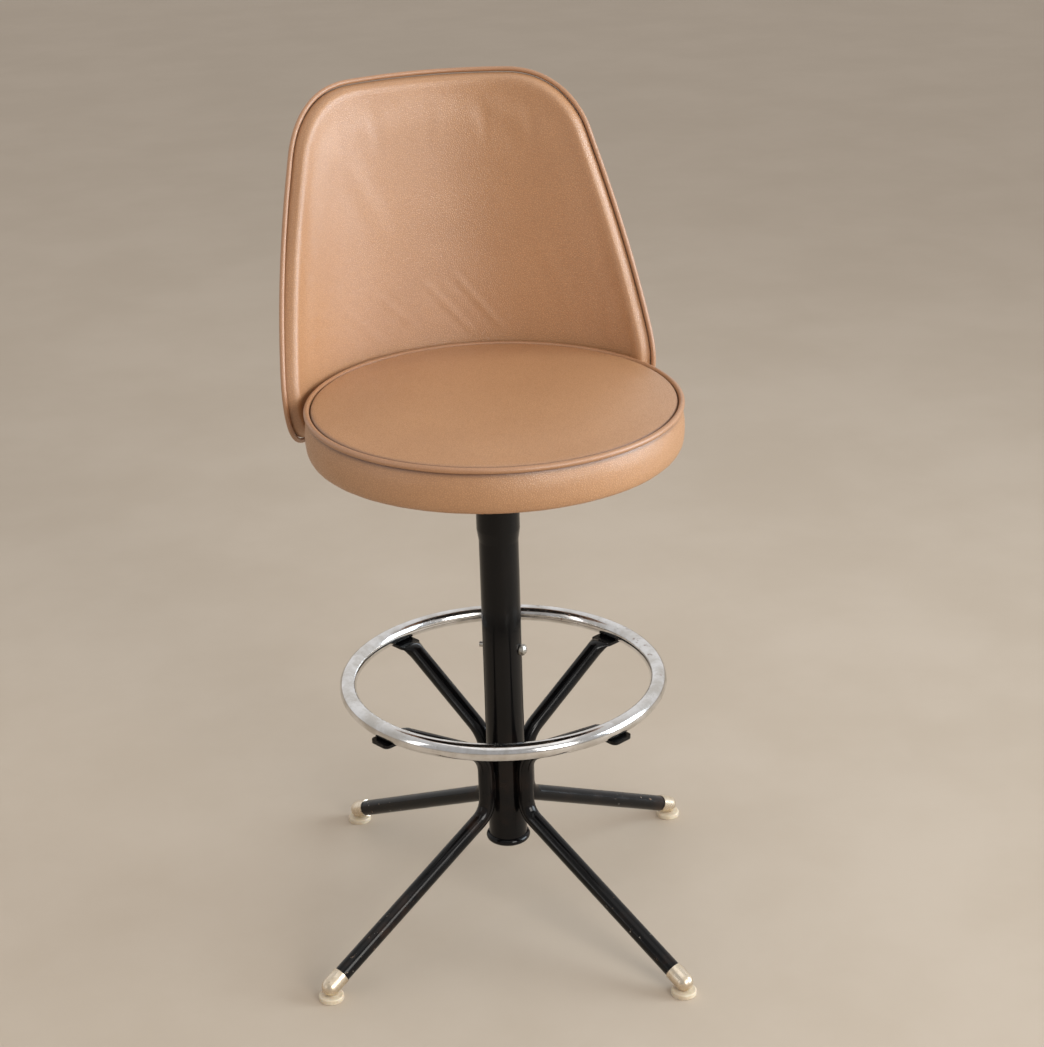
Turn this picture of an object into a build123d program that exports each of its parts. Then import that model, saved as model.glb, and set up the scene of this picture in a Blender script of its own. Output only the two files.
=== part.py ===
"""Adjustable swivel stool: four-legged welded base, telescoping column, upholstered seat and back.

Millimetres, +Z up, the sitter faces -Y. The origin is on the floor, on the column's axis.
"""

import os
from math import atan2, cos, radians, sin, sqrt, tan

from build123d import *

# ---------------------------------------------------------------- driving dimensions
base_turn = -17.2  # degrees that the legs stand turned from the seat's diagonals
legs = {"rear_right": 45, "rear_left": 135, "front_left": 225, "front_right": 315}

# column: an outer tube with a swaged top and a flared bottom lip
column_radius = 22.225
column_wall = 1.65
column_bottom = 88.5
column_top = 545.0
swage_start = 468.0
swage_end = 482.0
swage_radius = 24.25
lip_radius = 25.6
lip_height = 8.0
lip_overhang = 1.0  # of the lip's lower edge beyond the tube
fit = 0.02  # gap between pieces that touch

# height post inside the column
post_radius = 19.05
post_wall = 1.65
post_bottom = 215.0
post_top = 566.0
travel = 100.0
bolt_height = 335.0
bolt_turn = base_turn - 20.0
bolt_radius = 3.175
slot_play = 0.6

# leg tubes: foot, slope, a short upright against the column, brace, flattened tab
tube_radius = 9.525
tube_wall = 1.4
upright_radius = column_radius + tube_radius + 0.03
leg_bend = 25.0
brace_bend = 38.0
leg_slope = 26.1
brace_slope = 31.1
foot_radius = 276.5
foot_height = 15.4
ring_radius = 176.5
ring_height = 296.0
ring_wall = 1.2
tab_width = 28.0
tab_thickness = 3.6
tab_inner = 160.0
tab_outer = 189.0
tab_corner = 6.0
tab_root = 4.0  # how far the flat tab reaches back into the crimped tube
tab_hole = 2.8
ring_screw_shank = 2.5

# feet: metal ferrule with a ball end on a round plastic glide
ferrule_radius = 10.3
ferrule_wall = 0.8
ferrule_length = 18.0
ferrule_lap = 12.0
pad_radius = 14.0
pad_rim = 6.0
pad_play = 0.15
pad_pocket = 6.9
pad_pocket_depth = 3.3
pad_hole = 3.4
stud_radius = 1.6
stud_head = 4.6
stud_length = 5.6
stud_upset = 2.8  # radius of the end spread inside the ferrule
pad_top_round = 1.6
pad_bottom_round = 0.8

# swivel: two plates with a ball race between, on a kingpin
hub_bottom = column_top + 3.6
plate_gap = 4.4
lower_plate_top = 573.6
upper_plate_bottom = lower_plate_top + plate_gap
plate_thickness = 2.8
lower_plate_size = 100.0
upper_plate_size = 160.0
race_radius = 42.0
ball_radius = 3.0
ball_count = 16
pin_radius = 6.0
pin_play = 0.05

# seat
board_bottom = 582.4
board_thickness = 12.0
board_radius = 196.0
cover_skin = 1.2
band_bottom_radius = 199.0
band_middle_radius = 206.0
band_top_radius = 202.4
band_middle = 604.0
band_top = 624.6
welt_radius = 3.3
seat_welt_ring = 202.6
seat_welt_height = 628.3
panel_edge_radius = 199.0
panel_edge_height = 630.2
panel_crown = 640.2

# back: part of a leaning cone with rounded corners, measured on its welt
back_bottom = 562.0
back_top = 939.7
back_radius_bottom = 226.0
back_radius_top = 243.5
back_centre_bottom = -2.0
back_centre_top = 20.0
back_half_bottom = 302.0
back_half_top = 166.5
back_side_bulge = 5.2
back_corner_top = 101.0
back_corner_bottom = 66.0
back_welt_radius = 2.8
back_inset = 8.0
strap_turn = 28.0
strap_width = 30.0
strap_thickness = 2.8
strap_inner = 112.0
strap_face = 209.7
strap_top = 606.0
strap_bolt_height = 590.0
strap_stud_radius = 3.0
strap_screw_shank = 2.3
strap_screw_head = 4.6

board_top = board_bottom + board_thickness
crown_rise = panel_crown - panel_edge_height
crown_sphere = (panel_edge_radius**2 + crown_rise**2) / (2 * crown_rise)
upper_plate_top = upper_plate_bottom + plate_thickness
ball_centre = (lower_plate_top + upper_plate_bottom) / 2
os.makedirs("parts", exist_ok=True)


def radial_plane(azimuth):
    """The upright plane through the column's axis: local x is outward, local y is up."""
    a = radians(azimuth)
    return Plane(origin=(0, 0, 0), x_dir=(cos(a), sin(a), 0), z_dir=(sin(a), -cos(a), 0))


def save(part, name):
    part.label = name
    export_step(part, f"parts/{name}.step")


def crown_height(radius, depth):
    """Height of the seat's domed top at a radius, or of a dome that lies a depth below it."""
    return panel_crown - crown_sphere + sqrt((crown_sphere - depth) ** 2 - radius**2)


def polar(radius, azimuth, height):
    a = radians(azimuth)
    return (radius * cos(a), radius * sin(a), height)


# ---------------------------------------------------------------- column
with BuildPart() as column_tube:
    with BuildSketch(Plane.XZ):
        with BuildLine():
            inner = column_radius - column_wall
            Polyline(
                (inner, column_bottom + lip_height),
                (column_radius, column_bottom + lip_height),
                (column_radius, swage_start),
                (swage_radius, swage_end),
                (swage_radius, column_top),
                (swage_radius - column_wall, column_top),
                (swage_radius - column_wall, swage_end),
                (inner, swage_start),
                (inner, column_bottom + lip_height),
            )
        make_face()
        with BuildLine():
            lip_middle = column_bottom + lip_height / 2
            Line((inner, column_bottom), (inner, column_bottom + lip_height))
            Line((inner, column_bottom + lip_height), (column_radius, column_bottom + lip_height))
            ThreePointArc(
                (column_radius, column_bottom + lip_height),
                (lip_radius, lip_middle),
                (column_radius + lip_overhang, column_bottom),
            )
            Line((column_radius + lip_overhang, column_bottom), (inner, column_bottom))
        make_face()
    revolve(axis=Axis.Z)
    bolt_axis = radial_plane(bolt_turn)
    with BuildSketch(Plane(origin=(0, 0, bolt_height), z_dir=bolt_axis.x_dir)):
        Circle(bolt_radius + 0.06)
    extrude(amount=lip_radius, both=True, mode=Mode.SUBTRACT)
save(column_tube.part, "column_tube")

# ---------------------------------------------------------------- guide bushing in the swaged top
bushing_bore = post_radius + 0.08
with BuildPart() as top_bushing:
    with BuildSketch(Plane.XZ):
        with BuildLine():
            bushing_outer = swage_radius - column_wall - 0.03
            flange_bottom = column_top + 0.02
            flange_top = hub_bottom - 0.1
            Polyline(
                (bushing_bore, swage_end + 2),
                (bushing_outer, swage_end + 2),
                (bushing_outer, flange_bottom),
                (swage_radius, flange_bottom),
                (swage_radius, flange_top),
                (bushing_bore, flange_top),
                close=True,
            )
        make_face()
    revolve(axis=Axis.Z)
save(top_bushing.part, "top_bushing")

# ---------------------------------------------------------------- legs
slope = radians(leg_slope)
rise = radians(brace_slope)
leg_corner = foot_height + (foot_radius - upright_radius) * tan(slope)
tab_level = ring_height - tube_radius - tab_thickness / 2 - 0.05
tube_end_radius = tab_inner - 12.0
tube_end_height = tab_level - 5.6
brace_corner = tube_end_height - (tube_end_radius - upright_radius) * tan(rise)
tube_start = ferrule_length - ferrule_lap


def make_leg(azimuth):
    """One bent tube: leg, upright stretch and brace, with a flattened, drilled tab at its end."""
    side = radial_plane(azimuth)
    with BuildPart() as leg:
        with BuildLine(side) as path:
            FilletPolyline(
                (foot_radius - tube_start * cos(slope), foot_height + tube_start * sin(slope)),
                (upright_radius, leg_corner),
                (upright_radius, brace_corner),
                (tube_end_radius, tube_end_height),
                radius=(leg_bend, brace_bend),
            )
        with BuildSketch(Plane(origin=path.line @ 0, z_dir=path.line % 0)):
            Circle(tube_radius)
            Circle(tube_radius - tube_wall, mode=Mode.SUBTRACT)
        sweep(path=path.line)
        across = side.z_dir
        # the tube's end is crimped flat: reach, height, tilt, half width and half height of each section
        stations = (
            (tube_end_radius, tube_end_height, brace_slope, tube_radius, tube_radius),
            (tube_end_radius + 6.5, tube_end_height + 3.4, 19, 11.8, 6.6),
            (tab_inner, tab_level, 4, tab_width / 2 - 0.2, tab_thickness / 2 - 0.02),
        )
        for reach, height, tilt, half_width, half_height in stations:
            t = radians(tilt)
            along = side.x_dir * cos(t) + Vector(0, 0, sin(t))
            middle = side.from_local_coords((reach, height, 0))
            with BuildSketch(Plane(origin=middle, x_dir=across, z_dir=along)):
                Ellipse(half_width, half_height)
        loft()
        with BuildSketch(Plane(origin=(0, 0, tab_level), x_dir=side.x_dir)):
            with Locations(((tab_inner - tab_root + tab_outer) / 2, 0)):
                RectangleRounded(tab_outer - tab_inner + tab_root, tab_width, tab_corner)
        extrude(amount=tab_thickness / 2, both=True)
        with BuildSketch(Plane(origin=(0, 0, tab_level), x_dir=side.x_dir)):
            with Locations((ring_radius, 0)):
                Circle(tab_hole)
        extrude(amount=tab_thickness, both=True, mode=Mode.SUBTRACT)
    return leg.part


for place, quarter in legs.items():
    save(make_leg(quarter + base_turn), f"leg_{place}")

# ---------------------------------------------------------------- weld beads between legs and column
bead_radius = 1.9
bead_turn = 9.5  # degrees from a leg to the bead on either side of it
bead_bottom = leg_corner + 16
bead_top = brace_corner - 24
with BuildPart() as leg_welds:
    for quarter in legs.values():
        for hand in (-1, 1):
            spot = quarter + base_turn + hand * bead_turn
            with Locations(polar(column_radius + 1.6, spot, (bead_bottom + bead_top) / 2)):
                Cylinder(bead_radius, bead_top - bead_bottom)
    with BuildSketch(Plane.XY.offset(column_bottom)):
        Circle(column_radius + 0.01)
        with PolarLocations(upright_radius, 4, start_angle=45 + base_turn):
            Circle(tube_radius + 0.01)
    extrude(amount=column_top - column_bottom, mode=Mode.SUBTRACT)
save(leg_welds.part, "leg_welds")

# ---------------------------------------------------------------- foot ring
with BuildPart() as foot_ring:
    with BuildSketch(Plane.XZ):
        with Locations((ring_radius, ring_height)):
            Circle(tube_radius)
            Circle(tube_radius - ring_wall, mode=Mode.SUBTRACT)
    revolve(axis=Axis.Z)
    with BuildSketch(Plane.XY.offset(ring_height - tube_radius - 1)):
        with PolarLocations(ring_radius, 4, start_angle=45 + base_turn):
            Circle(ring_screw_shank + 0.1)
    extrude(amount=4, mode=Mode.SUBTRACT)
save(foot_ring.part, "foot_ring")

# ---------------------------------------------------------------- screws that hold the ring on the tabs
screw_head_top = tab_level - tab_thickness / 2 - fit
screw_flange_radius = 6.0
screw_flange = 0.8
screw_hex_radius = 4.6
screw_hex = 2.0
with BuildPart() as ring_screws:
    with BuildSketch(Plane.XY.offset(screw_head_top)):
        with PolarLocations(ring_radius, 4, start_angle=45 + base_turn):
            Circle(screw_flange_radius)
    extrude(amount=-screw_flange)
    with BuildSketch(Plane.XY.offset(screw_head_top - screw_flange)):
        with PolarLocations(ring_radius, 4, start_angle=45 + base_turn):
            RegularPolygon(screw_hex_radius, 6)
    extrude(amount=-screw_hex)
    chamfer(faces().sort_by(Axis.Z)[:4].edges(), 0.5)
    with BuildSketch(Plane.XY.offset(screw_head_top)):
        with PolarLocations(ring_radius, 4, start_angle=45 + base_turn):
            Circle(ring_screw_shank)
    extrude(amount=10)
save(ring_screws.part, "ring_screws")


# ---------------------------------------------------------------- ferrules on the feet
def make_ferrule(azimuth):
    """A thin metal cup over the tube's end, in line with the leg, closed by a half sphere."""
    side = radial_plane(azimuth)
    centre = side.from_local_coords((foot_radius, foot_height, 0))
    along = side.x_dir * cos(slope) - Vector(0, 0, sin(slope))
    bore = ferrule_radius - ferrule_wall
    # local x runs outward from the ferrule's axis and local y along it, towards the ball end
    half = Plane(origin=centre, x_dir=side.z_dir, z_dir=side.z_dir.cross(along))
    with BuildPart() as ferrule:
        with BuildSketch(half):
            with BuildLine():
                Line((ferrule_radius, 0), (ferrule_radius, -ferrule_length))
                Line((ferrule_radius, -ferrule_length), (bore + 0.03, -ferrule_length))
                Line((bore + 0.03, -ferrule_length), (bore + 0.03, 0))
                ThreePointArc(
                    (bore + 0.03, 0), (bore * sin(radians(45)), bore * cos(radians(45))), (0, bore)
                )
                Line((0, bore), (0, ferrule_radius))
                ThreePointArc(
                    (0, ferrule_radius),
                    (ferrule_radius * sin(radians(45)), ferrule_radius * cos(radians(45))),
                    (ferrule_radius, 0),
                )
            make_face()
        revolve(axis=Axis(centre, along))
        with BuildSketch(Plane(origin=(centre.X, centre.Y, 0))):
            Circle(stud_radius + 0.03)
        extrude(amount=foot_height, mode=Mode.SUBTRACT)
    return ferrule.part


for place, quarter in legs.items():
    save(make_ferrule(quarter + base_turn), f"ferrule_{place}")

# ---------------------------------------------------------------- studs that hold the glides
stud_bottom = 1.7
stud_head_thickness = 0.8
with BuildPart() as glide_studs:
    with PolarLocations(foot_radius, 4, start_angle=45 + base_turn):
        with Locations((0, 0, stud_bottom)):
            Cylinder(stud_head, stud_head_thickness, align=(Align.CENTER, Align.CENTER, Align.MIN))
            Cylinder(stud_radius, stud_length, align=(Align.CENTER, Align.CENTER, Align.MIN))
        with Locations((0, 0, stud_bottom + 5.0)):
            Cylinder(stud_upset, 1.2, align=(Align.CENTER, Align.CENTER, Align.MIN))
save(glide_studs.part, "glide_studs")


# ---------------------------------------------------------------- plastic glides
def make_pad(azimuth):
    """A round plastic glide with a dished top for the ferrule's ball end."""
    centre = polar(foot_radius, azimuth, 0)
    socket = ferrule_radius + pad_play
    with BuildPart() as pad:
        with BuildSketch(Plane(origin=centre)):
            Circle(pad_radius)
        extrude(amount=pad_rim)
        fillet(edges().filter_by(GeomType.CIRCLE).group_by(Axis.Z)[-1], pad_top_round)
        fillet(edges().filter_by(GeomType.CIRCLE).group_by(Axis.Z)[0], pad_bottom_round)
        with Locations((centre[0], centre[1], foot_height)):
            Sphere(socket, mode=Mode.SUBTRACT)
        with BuildSketch(Plane(origin=centre)):
            Circle(pad_pocket)
        extrude(amount=pad_pocket_depth, mode=Mode.SUBTRACT)
        with BuildSketch(Plane(origin=centre)):
            Circle(pad_hole)
        extrude(amount=pad_rim, mode=Mode.SUBTRACT)
    return pad.part


for place, quarter in legs.items():
    save(make_pad(quarter + base_turn), f"glide_{place}")

# ---------------------------------------------------------------- height post
with BuildPart() as post_tube:
    with BuildSketch(Plane.XY.offset(post_bottom)):
        Circle(post_radius)
        Circle(post_radius - post_wall, mode=Mode.SUBTRACT)
    extrude(amount=post_top - post_bottom)
    # the clamping bolt crosses the post in a slot as long as the height adjustment
    slot_length = travel + 2 * (bolt_radius + slot_play)
    slot_middle = bolt_height - travel / 2
    with BuildSketch(Plane(origin=(0, 0, slot_middle), x_dir=(0, 0, 1), z_dir=bolt_axis.x_dir)):
        SlotOverall(slot_length, 2 * (bolt_radius + 0.3))
    extrude(amount=post_radius + 5, both=True, mode=Mode.SUBTRACT)
save(post_tube.part, "post_tube")

with BuildPart() as post_guide:
    with BuildSketch(Plane.XY.offset(post_bottom - 6)):
        Circle(column_radius - column_wall - 0.08)
        Circle(post_radius - post_wall - 1, mode=Mode.SUBTRACT)
    extrude(amount=20)
    with BuildSketch(Plane.XY.offset(post_bottom - 0.02)):
        Circle(post_radius + 0.02)
    extrude(amount=20, mode=Mode.SUBTRACT)
save(post_guide.part, "post_guide")

# ---------------------------------------------------------------- swivel
lower_plate_bottom = lower_plate_top - 3.0
hub_neck_radius = 25.5
hub_neck_height = 7.0
hub_cone_radius = 30.0
hub_cone_height = 14.0
hub_flange_radius = 46.0
hub_flange_rim = 3.5
plate_bore = pin_radius + 0.1
with BuildPart() as swivel_hub:
    with BuildSketch(Plane.XZ):
        with BuildLine():
            Polyline(
                (post_radius + fit, hub_bottom),
                (hub_neck_radius, hub_bottom),
                (hub_neck_radius, hub_bottom + hub_neck_height),
                (hub_cone_radius, hub_bottom + hub_cone_height),
                (hub_flange_radius, lower_plate_bottom - hub_flange_rim),
                (hub_flange_radius, lower_plate_bottom - fit),
                (plate_bore, lower_plate_bottom - fit),
                (plate_bore, post_top + 0.05),
                (post_radius + fit, post_top + 0.05),
                close=True,
            )
        make_face()
    revolve(axis=Axis.Z)
save(swivel_hub.part, "swivel_hub")

groove = 0.05
plate_corner = 12.0
with BuildPart() as swivel_lower_plate:
    with BuildSketch(Plane.XY.offset(lower_plate_bottom)):
        RectangleRounded(lower_plate_size, lower_plate_size, plate_corner)
        Circle(plate_bore, mode=Mode.SUBTRACT)
    extrude(amount=lower_plate_top - lower_plate_bottom)
    with Locations((0, 0, ball_centre)):
        Torus(race_radius, ball_radius + groove, mode=Mode.SUBTRACT)
save(swivel_lower_plate.part, "swivel_lower_plate")

with BuildPart() as bearing_balls:
    with PolarLocations(race_radius, ball_count):
        with Locations((0, 0, ball_centre)):
            Sphere(ball_radius)
save(bearing_balls.part, "bearing_balls")

cage_half_width = 5.5
cage_thickness = 1.4
with BuildPart() as ball_cage:
    with BuildSketch(Plane.XY.offset(ball_centre - cage_thickness / 2)):
        Circle(race_radius + cage_half_width)
        Circle(race_radius - cage_half_width, mode=Mode.SUBTRACT)
        with PolarLocations(race_radius, ball_count):
            Circle(ball_radius + groove, mode=Mode.SUBTRACT)
    extrude(amount=cage_thickness)
save(ball_cage.part, "ball_cage")

plate_screw_spot = upper_plate_size / 2 - 14
plate_screw_shank = 2.4
plate_screw_head = 4.6
with BuildPart() as swivel_upper_plate:
    with BuildSketch(Plane.XY.offset(upper_plate_bottom)):
        RectangleRounded(upper_plate_size, upper_plate_size, plate_corner)
        Circle(pin_radius + pin_play, mode=Mode.SUBTRACT)
        with GridLocations(2 * plate_screw_spot, 2 * plate_screw_spot, 2, 2):
            Circle(plate_screw_shank + 0.3, mode=Mode.SUBTRACT)
    extrude(amount=plate_thickness)
    with Locations((0, 0, ball_centre)):
        Torus(race_radius, ball_radius + groove, mode=Mode.SUBTRACT)
save(swivel_upper_plate.part, "swivel_upper_plate")

pin_bottom = post_top - 12
pin_head_bottom = upper_plate_top + 0.1
pin_head_radius = 11.0
nut_height = 9.5
with BuildPart() as kingpin:
    with BuildSketch(Plane.XY.offset(pin_bottom)):
        Circle(pin_radius)
    extrude(amount=pin_head_bottom - pin_bottom)
    with BuildSketch(Plane.XY.offset(pin_head_bottom)):
        Circle(pin_head_radius)
    extrude(amount=4)
    chamfer(edges().group_by(Axis.Z)[-1], 0.8)
save(kingpin.part, "kingpin")

with BuildPart() as kingpin_nut:
    with BuildSketch(Plane.XY.offset(post_top - nut_height)):
        RegularPolygon(pin_head_radius, 6)
        Circle(pin_radius + fit, mode=Mode.SUBTRACT)
    extrude(amount=nut_height)
save(kingpin_nut.part, "kingpin_nut")

with BuildPart() as plate_screws:
    with BuildSketch(Plane.XY.offset(upper_plate_bottom - fit)):
        with GridLocations(2 * plate_screw_spot, 2 * plate_screw_spot, 2, 2):
            Circle(plate_screw_head)
    extrude(amount=-2.4)
    fillet(edges().group_by(Axis.Z)[0], 1.2)
    with BuildSketch(Plane.XY.offset(upper_plate_bottom - fit)):
        with GridLocations(2 * plate_screw_spot, 2 * plate_screw_spot, 2, 2):
            Circle(plate_screw_shank)
    extrude(amount=14)
save(plate_screws.part, "plate_screws")

# ---------------------------------------------------------------- bolt that clamps the height
seat_of_head = column_radius + 0.15
washer_thickness = 1.5
washer_radius = 6.2
head_half_flats = 5.55
head_height = 5.4
bolt_length_beyond = 27.0
with BuildPart() as lock_washer:
    with BuildSketch(Plane(origin=bolt_axis.x_dir * seat_of_head + Vector(0, 0, bolt_height),
                           z_dir=bolt_axis.x_dir)):
        Circle(washer_radius)
        Circle(bolt_radius + fit, mode=Mode.SUBTRACT)
    extrude(amount=washer_thickness)
save(lock_washer.part, "lock_washer")

head_start = seat_of_head + washer_thickness + fit
with BuildPart() as lock_bolt:
    with BuildSketch(Plane(origin=bolt_axis.x_dir * head_start + Vector(0, 0, bolt_height),
                           z_dir=bolt_axis.x_dir)):
        RegularPolygon(head_half_flats, 6, major_radius=False)
    extrude(amount=head_height)
    crown = Plane(origin=bolt_axis.x_dir * (head_start - 2.5) + Vector(0, 0, bolt_height),
                  z_dir=bolt_axis.x_dir)
    with Locations(crown):
        Sphere(8.2, mode=Mode.INTERSECT)
    with BuildSketch(Plane(origin=bolt_axis.x_dir * -bolt_length_beyond + Vector(0, 0, bolt_height),
                           z_dir=bolt_axis.x_dir)):
        Circle(bolt_radius)
    extrude(amount=bolt_length_beyond + head_start + 1)
save(lock_bolt.part, "lock_bolt")

# ---------------------------------------------------------------- seat board and its cover
strap_screw_spots = [
    polar(strap_inner + along, 90 + hand * strap_turn, 0)[:2] for hand in (-1, 1) for along in (12, 48)
]
with BuildPart() as seat_board:
    with BuildSketch(Plane.XY.offset(board_bottom)):
        Circle(board_radius)
        Circle(pin_head_radius + 5, mode=Mode.SUBTRACT)
        with GridLocations(2 * plate_screw_spot, 2 * plate_screw_spot, 2, 2):
            Circle(plate_screw_shank + fit, mode=Mode.SUBTRACT)
        with Locations(*strap_screw_spots):
            Circle(strap_screw_shank + fit, mode=Mode.SUBTRACT)
    extrude(amount=board_thickness)
save(seat_board.part, "seat_board")

foam_play = 0.5
foam_depth = cover_skin + 0.3
foam_shoulder = panel_edge_radius - 2.5
with BuildPart() as seat_foam:
    with BuildSketch(Plane.XZ):
        with BuildLine():
            skirt = board_radius + 0.3
            side_skin = cover_skin + foam_play
            Polyline(
                (0, board_top + 0.1),
                (skirt, board_top + 0.1),
                (skirt, board_bottom + 1.6),
                (band_bottom_radius - side_skin, board_bottom + 1.6),
            )
            ThreePointArc(
                (band_bottom_radius - side_skin, board_bottom + 1.6),
                (band_middle_radius - side_skin, band_middle),
                (band_top_radius - side_skin, band_top - 0.2),
            )
            Line((band_top_radius - side_skin, band_top - 0.2), (foam_shoulder, band_top + 1.4))
            Line((foam_shoulder, band_top + 1.4), (foam_shoulder, crown_height(foam_shoulder, foam_depth)))
            ThreePointArc(
                (foam_shoulder, crown_height(foam_shoulder, foam_depth)),
                (foam_shoulder / 2, crown_height(foam_shoulder / 2, foam_depth)),
                (0, crown_height(0, foam_depth)),
            )
            Line((0, crown_height(0, foam_depth)), (0, board_top + 0.1))
        make_face()
    revolve(axis=Axis.Z)
save(seat_foam.part, "seat_foam")

lip_inner = 178.0
with BuildPart() as seat_band:
    with BuildSketch(Plane.XZ):
        with BuildLine():
            lip_bottom = board_bottom - cover_skin - 0.05
            lip_top = board_bottom - 0.05
            Line((lip_inner, lip_top), (lip_inner, lip_bottom))
            Line((lip_inner, lip_bottom), (band_bottom_radius - 2, lip_bottom))
            ThreePointArc(
                (band_bottom_radius - 2, lip_bottom),
                (band_bottom_radius - 0.5, lip_bottom + 0.5),
                (band_bottom_radius, lip_bottom + 2),
            )
            ThreePointArc(
                (band_bottom_radius, lip_bottom + 2),
                (band_middle_radius, band_middle),
                (band_top_radius, band_top),
            )
            Line((band_top_radius, band_top), (band_top_radius - cover_skin, band_top))
            ThreePointArc(
                (band_top_radius - cover_skin, band_top),
                (band_middle_radius - cover_skin, band_middle),
                (band_bottom_radius - cover_skin, lip_top),
            )
            Line((band_bottom_radius - cover_skin, lip_top), (lip_inner, lip_top))
        make_face()
    revolve(axis=Axis.Z)
save(seat_band.part, "seat_band")

with BuildPart() as seat_welt:
    with BuildSketch(Plane.XZ):
        with Locations((seat_welt_ring, seat_welt_height)):
            Circle(welt_radius)
    revolve(axis=Axis.Z)
save(seat_welt.part, "seat_welt")

with BuildPart() as seat_top_panel:
    with BuildSketch(Plane.XZ):
        with BuildLine():
            mid = panel_edge_radius / 2
            edge_under = crown_height(panel_edge_radius, cover_skin)
            Line((0, crown_height(0, cover_skin)), (0, panel_crown))
            ThreePointArc(
                (0, panel_crown),
                (mid, crown_height(mid, 0)),
                (panel_edge_radius, panel_edge_height),
            )
            Line((panel_edge_radius, panel_edge_height), (panel_edge_radius, edge_under))
            ThreePointArc(
                (panel_edge_radius, edge_under),
                (mid, crown_height(mid, cover_skin)),
                (0, crown_height(0, cover_skin)),
            )
        make_face()
    revolve(axis=Axis.Z)
save(seat_top_panel.part, "seat_top_panel")

cloth_radius = 186.0
cloth_top = lip_bottom - 0.05
cloth_thickness = 0.3
with BuildPart() as seat_dust_cover:
    with BuildSketch(Plane.XY.offset(cloth_top - cloth_thickness)):
        Circle(cloth_radius)
        Rectangle(upper_plate_size + 6, upper_plate_size + 6, mode=Mode.SUBTRACT)
        with Locations(*strap_screw_spots):
            Circle(strap_screw_shank + 0.3, mode=Mode.SUBTRACT)
    extrude(amount=cloth_thickness)
save(seat_dust_cover.part, "seat_dust_cover")

staple_wire = 0.55
staple_length = 9.0
staple_count = 36
staple_bottom = cloth_top - cloth_thickness - staple_wire - 0.05
with BuildPart() as dust_cover_staples:
    with BuildSketch(Plane.XY.offset(staple_bottom)):
        with PolarLocations(cloth_radius - 3, staple_count, start_angle=5):
            Rectangle(1.6 * staple_wire, staple_length)
    extrude(amount=staple_wire)
save(dust_cover_staples.part, "dust_cover_staples")

# ---------------------------------------------------------------- shape of the back
back_span = back_top - back_bottom
side_lean = atan2(back_half_bottom - back_half_top, back_span)


def back_cone(height):
    """Radius and centre (along Y) of the cone that the welt lies on, at a height."""
    k = (height - back_bottom) / back_span
    radius = back_radius_bottom + k * (back_radius_top - back_radius_bottom)
    centre = back_centre_bottom + k * (back_centre_top - back_centre_bottom)
    return radius, centre


def back_side(height, inset):
    """Half width of the flattened back on its slightly bulged side edge, at a height."""
    k = (height - back_bottom) / back_span
    straight = back_half_bottom + k * (back_half_top - back_half_bottom)
    return straight + back_side_bulge * 4 * k * (1 - k) - inset / cos(side_lean)


def back_half_width(height, inset):
    """Half width of the flattened back at a height, with its rounded corners."""
    top_round = back_corner_top - inset
    top_level = back_top - back_corner_top
    bottom_round = back_corner_bottom - inset
    bottom_level = back_bottom + back_corner_bottom
    if height > top_level + top_round * sin(side_lean):
        middle = back_side(top_level, inset) - top_round / cos(side_lean)
        return middle + sqrt(max(top_round**2 - (height - top_level) ** 2, 0))
    if height < bottom_level + bottom_round * sin(side_lean):
        middle = back_side(bottom_level, inset) - bottom_round / cos(side_lean)
        return middle + sqrt(max(bottom_round**2 - (height - bottom_level) ** 2, 0))
    return back_side(height, inset)


def back_levels(inset):
    """Heights of the cross-sections: close together round the corners."""
    low = [back_bottom + back_corner_bottom - (back_corner_bottom - inset) * cos(radians(a))
           for a in (0, 18, 36, 54, 72, 90)]
    high = [back_top - back_corner_top + (back_corner_top - inset) * sin(radians(a))
            for a in (20, 34, 48, 62, 76, 90)]
    middle = [low[-1] + (high[0] - low[-1]) * k / 5 for k in range(1, 5)]
    return low + middle + high


def back_point(height, width, reach):
    """A point on the back: width along the curve, reach outward from the welt's cone."""
    radius, centre = back_cone(height)
    angle = width / radius
    return ((radius + reach) * sin(angle), centre + (radius + reach) * cos(angle))


def back_layer(inside, outside, inset):
    """One curved layer of the back, between two distances from the welt's cone."""
    with BuildPart() as layer:
        for height in back_levels(inset):
            width = back_half_width(height, inset)
            with BuildSketch(Plane.XY.offset(height)):
                with BuildLine():
                    ThreePointArc(
                        back_point(height, -width, outside),
                        back_point(height, 0, outside),
                        back_point(height, width, outside),
                    )
                    Line(back_point(height, width, outside), back_point(height, width, inside))
                    ThreePointArc(
                        back_point(height, width, inside),
                        back_point(height, 0, inside),
                        back_point(height, -width, inside),
                    )
                    Line(back_point(height, -width, inside), back_point(height, -width, outside))
                make_face()
        loft(ruled=True)
        for hand in (-1, 1):
            stud = radial_plane(90 + hand * strap_turn)
            with BuildSketch(Plane(origin=stud.x_dir * (strap_face - 5) + Vector(0, 0, strap_bolt_height),
                                   z_dir=stud.x_dir)):
                Circle(strap_stud_radius + 0.15)
            extrude(amount=60, mode=Mode.SUBTRACT)
    return layer


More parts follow.
